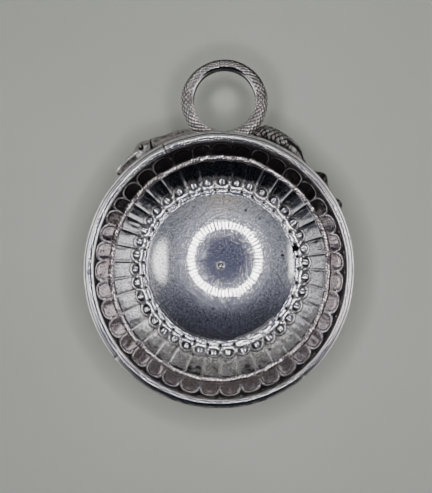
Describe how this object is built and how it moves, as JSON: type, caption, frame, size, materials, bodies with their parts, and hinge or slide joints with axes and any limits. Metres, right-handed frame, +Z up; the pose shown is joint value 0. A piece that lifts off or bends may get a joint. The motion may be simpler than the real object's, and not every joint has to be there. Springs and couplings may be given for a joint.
{
  "type": "tastevin",
  "caption": "Shallow silver wine-tasting cup with a domed boss, chased flutes and scallops, an applied reeded rim and a soldered finger ring in the form of a serpent.",
  "frame": {"origin": "on the bowl's axis, in the plane of the worn ring that the bowl stands on", "axes": "+Z up out of the bowl's mouth, +Y from the bowl's axis towards the finger ring, +X to the right seen from above with the ring at the top"},
  "size_m": [0.0806, 0.1042, 0.026],
  "materials": {
    "bowl_silver": "old polished silver, dark tarnish in the chased lines",
    "rim_silver": "rubbed bright silver with dark lines between the reeds",
    "serpent_silver": "worn cast silver, dark between the scales",
    "solder": "dull silver solder"
  },
  "bodies": {
    "root": {"bowl": "bowl_silver", "rim_moulding": "rim_silver", "rim_solder_seam": "solder", "finger_ring": "serpent_silver", "ring_solder_fillets": "solder", "serpent_head": "serpent_silver", "head_solder_bed": "solder", "serpent_tail": "serpent_silver", "tail_solder_bed": "solder"}
  },
  "joints": []
}
